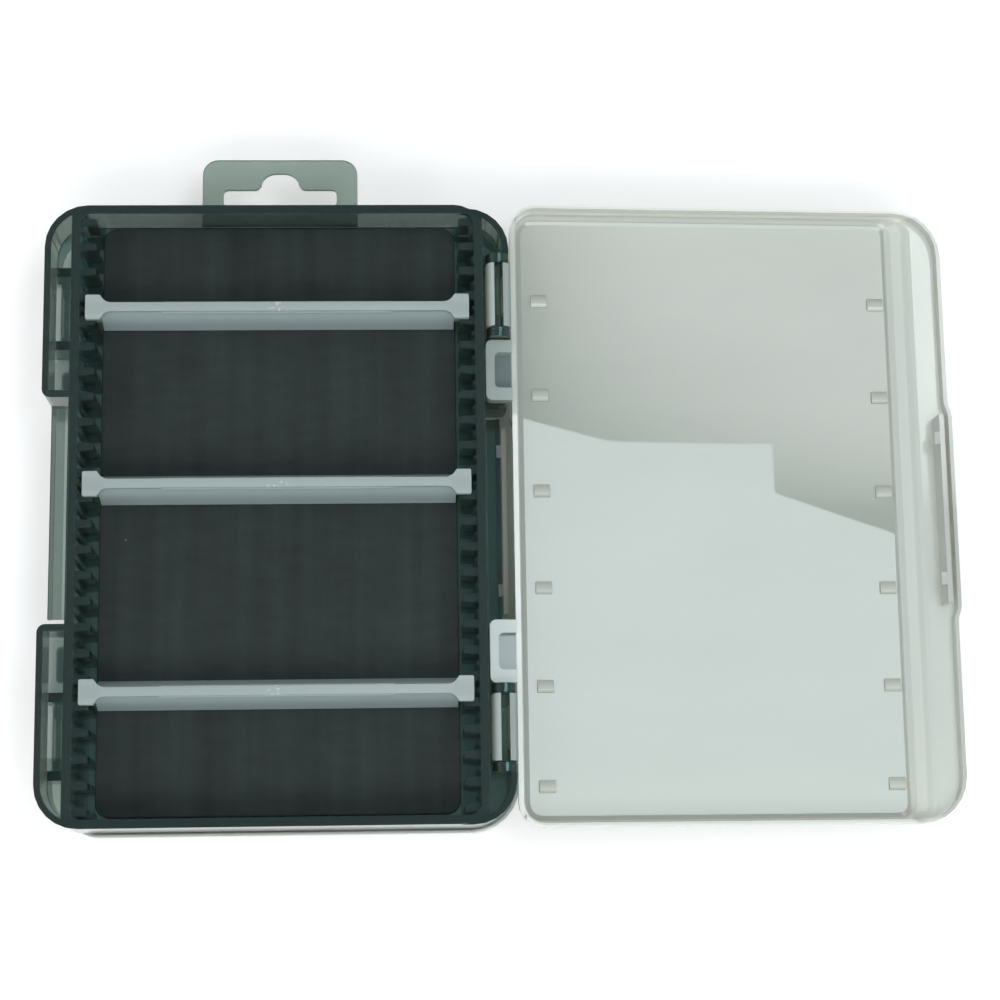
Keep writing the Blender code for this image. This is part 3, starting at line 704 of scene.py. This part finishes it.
def lid_zones_group():
    group, start, end = new_group("lid_zones", LID_PLACE, ("Rim", "Ramp", "Block", "Window"))
    place, axes = object_place(group)
    from_hinge = vector_node(group, "SUBTRACT", place, start["Hinge"])["Vector"]
    up = vector_node(group, "DOT_PRODUCT", from_hinge, start["Up"])["Value"]
    across = vector_node(group, "DOT_PRODUCT", from_hinge, start["Across"])["Value"]
    along = math_node(group, "ABSOLUTE", axes["Y"])
    off_window = math_node(group, "ABSOLUTE", math_node(group, "SUBTRACT", along, WINDOW_MIDDLE))
    on_rim = soft_step(group, up, *RIM_LEVELS)
    on_ramp = soft_step(group, across, *RAMP_ACROSS)
    between_ends = soft_step(group, along, *END_WALL_ALONG)
    below_plate = soft_step(group, up, *PLATE_LEVELS)
    in_length = soft_step(group, off_window, WINDOW_HALF + WINDOW_EDGE, WINDOW_HALF - WINDOW_EDGE)
    past_wall = soft_step(group, across, WINDOW_WALL - WINDOW_EDGE, WINDOW_WALL + WINDOW_EDGE)
    inner, outer = WINDOW_BORDER - WINDOW_EDGE, WINDOW_BORDER + WINDOW_EDGE
    before_border = soft_step(group, across, outer, inner)
    group.links.new(on_rim, end["Rim"])
    group.links.new(both(group, on_ramp, between_ends), end["Ramp"])
    group.links.new(past_wall, end["Block"])
    group.links.new(both(group, in_length, past_wall, before_border, below_plate), end["Window"])
    return group


LID_ZONES = lid_zones_group()
print("lid zones have", len(LID_ZONES.nodes), "nodes")

# %% [markdown]
# ## Cloudy lids
# Cloudy plastic scatters blue light back and lets warm light through. Real scattering inside such a
# thin shell takes many samples to settle, so a pale blue-green surface goes round a warm volume, which
# gives the same two colours at once. A smooth clear coat gives the panel its mirror. The open lid is
# seen through its thin panel and the closed one through its deep edges, so each has its own warmth.

# %% Make the lid plastic
PANEL_TONES = ((0.41, 0.475, 0.455), (0.44, 0.505, 0.485))
RIM_TONE = (0.85, 0.94, 0.92)
RAMP_TONE = (0.65, 0.74, 0.755)
WINDOW_TONE = (0.16, 0.235, 0.25)
WARM_DEPTH_COLOUR = (0.99, 0.72, 0.1)
LIDS = {
    "front_lid": {
        "hinge": "front_lid_hinge",
        "turned_by": math.radians(183),
        # painted light: this open lid's hinge block is painted only a little paler than its panel
        "painted_block_light": (0.45, 0.57, 0.57),
        "warmth": 300.0,
    },
    "back_lid": {
        "hinge": "back_lid_hinge",
        "turned_by": math.pi,
        # painted light: on this closed lid the same moulding's hinge block is painted much paler
        "painted_block_light": (0.82, 0.94, 0.97),
        "warmth": 90.0,
    },
}


def lid_plastic(node, hinge, turned_by, painted_block_light, warmth):
    """A lid's plastic. The lid is turned by an angle from the place of a closed front lid."""
    made = moulded_plastic(
        node + "_plastic",
        PANEL_TONES,
        roughness=0.32,
        spread=0.1,
        transmission=0.45,
        wave_strength=0.12,
        coat=1.0,
    )
    tint_volume(made, WARM_DEPTH_COLOUR, warmth)
    tones = {"Rim": RIM_TONE, "Ramp": RAMP_TONE, "Block": painted_block_light, "Window": WINDOW_TONE}
    zones = lay_zones(made, LID_ZONES, tones)
    joint = next(joint for joint in frame["joints"] if joint["name"] == hinge)
    zones.inputs["Hinge"].default_value = tuple(joint["pos_m"])
    zones.inputs["Up"].default_value = (-math.sin(turned_by), 0, -math.cos(turned_by))
    zones.inputs["Across"].default_value = (math.cos(turned_by), 0, -math.sin(turned_by))
    print(node, "turns about", [round(value, 4) for value in joint["pos_m"]])
    return made


lid_plastics = {node: lid_plastic(node, **values) for node, values in LIDS.items()}

# %% [markdown]
# ## The plastics on their pieces
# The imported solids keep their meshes, so their finish is only a change of material. Copies of a mesh
# could carry finer detail, but these shapes have it already. The three dividers come from one mould and
# share one material, and each lid has its own, because its zones follow its own hinge.

# %% Put the plastics on
PLASTICS = {
    "base_body": smoke,
    "divider_upper": milky_divider,
    "divider_middle": milky_divider,
    "divider_lower": milky_divider,
    **lid_plastics,
}
for node, plastic in PLASTICS.items():
    nodes[node].data.materials.clear()
    nodes[node].data.materials.append(plastic)
print("plastics on", len(PLASTICS), "pieces")

# %% [markdown]
# ## Foam
# Each pocket has a mat of closed-cell foam. One even dark grey would look like rubber: real foam has
# soft bands along its length where it was rolled, fainter rows across, and patches where things
# pressed on it. Noise that is drawn out one way makes bands and rows, and even noise makes patches.

# %% Wear on the foam
BAND = {"scale": 160.0, "stretch": (1.0, 0.05, 1.0), "detail": 3.0, "share": 0.5}
ROW = {"scale": 420.0, "stretch": (0.3, 1.0, 1.0), "detail": 2.0, "share": 0.2}
PATCH = {"scale": 40.0, "stretch": None, "detail": 4.0, "share": 0.3}


def wear(tree, place, scale, stretch, detail, share):
    """One noise of the foam's wear, times its share of the whole."""
    where = stretched(tree, place, stretch) if stretch else place
    return math_node(tree, "MULTIPLY", noise(tree, where, scale, detail), share)


print("the wear's shares add up to", sum(part["share"] for part in (BAND, ROW, PATCH)))

# %% [markdown]
# Close up, the foam shows tiny pores and a few pale specks of dust. Noise is too soft for either. Both
# are round, so they come from the distance to scattered points: small cells dent the surface as pores,
# and large ones, cut off at a small radius, leave specks.

# %% Make the foam material
FOAM_ROUGHNESS = 0.85
FOAM_GLOSS = 0.3
FOAM_DARK = (0.0095, 0.0148, 0.014)
FOAM_LIGHT = (0.0265, 0.0375, 0.035)
SPECK_SCALE = 55.0
SPECK_RADII = (0.028, 0.018)
SPECK_TONE = (0.2, 0.23, 0.22)
PORE_SCALE = 2200.0
PORE_STRENGTH = 0.4
PORE_DEPTH = 0.0002


def cells(tree, place, scale):
    """The distance from the nearest of many scattered points."""
    made = tree.nodes.new("ShaderNodeTexVoronoi")
    made.inputs["Scale"].default_value = scale
    tree.links.new(place, made.inputs["Vector"])
    return made.outputs["Distance"]


def foam_material():
    made = bpy.data.materials.new("dark_foam")
    made.use_nodes = True
    tree = made.node_tree
    shader = tree.nodes["Principled BSDF"]
    shader.inputs["Roughness"].default_value = FOAM_ROUGHNESS
    shader.inputs["Specular IOR Level"].default_value = FOAM_GLOSS
    place = object_place(tree)[0]
    streaks = math_node(tree, "ADD", wear(tree, place, **BAND), wear(tree, place, **ROW))
    worn = math_node(tree, "ADD", streaks, wear(tree, place, **PATCH))
    shade = two_tones(tree, worn, FOAM_DARK, FOAM_LIGHT)
    speck = soft_step(tree, cells(tree, place, SPECK_SCALE), *SPECK_RADII)
    tree.links.new(tone_over(tree, speck, shade, SPECK_TONE), shader.inputs["Base Color"])
    bump = tree.nodes.new("ShaderNodeBump")
    bump.inputs["Strength"].default_value = PORE_STRENGTH
    bump.inputs["Distance"].default_value = PORE_DEPTH
    tree.links.new(cells(tree, place, PORE_SCALE), bump.inputs["Height"])
    tree.links.new(bump.outputs["Normal"], shader.inputs["Normal"])
    return made


foam = foam_material()
print("foam has", len(foam.node_tree.nodes), "nodes")

# %% [markdown]
# ## Foam mats
# A mat is cut from a sheet, so it is flat, with rounded corners in plan and an edge that the cut has
# crushed a little. A cloth simulation would puff it up, which closed-cell foam doesn't do, and a box
# with bevels would round corners and edges alike. So rings of one rounded outline are stacked, and
# those near the faces are drawn in along a quarter circle.

# %% Draw the mat's outline
FOAM_CORNER = 0.0038
CORNER_STEPS = 8
CORNERS = ((1, 1), (-1, 1), (-1, -1), (1, -1))


def mat_outline(low, high, inset):
    """The mat's rounded outline in plan, drawn in by an inset."""
    radius = FOAM_CORNER - inset
    points = []
    for index, (side_x, side_y) in enumerate(CORNERS):
        centre_x = high.x - FOAM_CORNER if side_x > 0 else low.x + FOAM_CORNER
        centre_y = high.y - FOAM_CORNER if side_y > 0 else low.y + FOAM_CORNER
        for step in range(CORNER_STEPS + 1):
            angle = math.pi / 2 * (index + step / CORNER_STEPS)
            points.append((centre_x + radius * math.cos(angle), centre_y + radius * math.sin(angle)))
    return points


# %% [markdown]
# The rings go from the lower face to the upper one. Each ring is the same outline with the same number
# of points, so neighbours join with plain four-sided faces, and one many-sided face closes each end.
# The mat rides with the base and stands in for the plain solid, whose space it keeps to.

# %% Build the mats
EDGE_CRUSH = 0.0004
EDGE_STEPS = 3


def mat_rings(low, high):
    """Inset and height of each ring, from the mat's lower face to its upper face."""
    crush = []
    for step in range(EDGE_STEPS + 1):
        angle = math.pi / 2 * step / EDGE_STEPS
        crush.append((EDGE_CRUSH * (1 - math.sin(angle)), EDGE_CRUSH * (1 - math.cos(angle))))
    rings = [(inset, low.z + rise) for inset, rise in crush]
    rings += [(inset, high.z - rise) for inset, rise in reversed(crush)]
    return rings


def foam_mat(node):
    """A cut mat with softly crushed edges, in the space of the plain solid."""
    low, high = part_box(node)
    work = bmesh.new()
    loops = []
    for inset, height in mat_rings(low, high):
        loops.append([work.verts.new((x, y, height)) for x, y in mat_outline(low, high, inset)])
    count = len(loops[0])
    for lower, upper in zip(loops, loops[1:]):
        for index in range(count):
            after = (index + 1) % count
            work.faces.new((lower[index], lower[after], upper[after], upper[index]))
    work.faces.new(loops[0][::-1])
    work.faces.new(loops[-1])
    mesh = bpy.data.meshes.new(node + "_foam")
    work.to_mesh(mesh)
    work.free()
    mesh.materials.append(foam)
    mat = bpy.data.objects.new(node + "_foam", mesh)
    scene.collection.objects.link(mat)
    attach(mat, "base")
    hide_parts(node)
    print(node, "foam is", round((high.z - low.z) * 1000, 2), "mm thick")


for node in ("front_foam_mat", "back_foam_mat"):
    foam_mat(node)
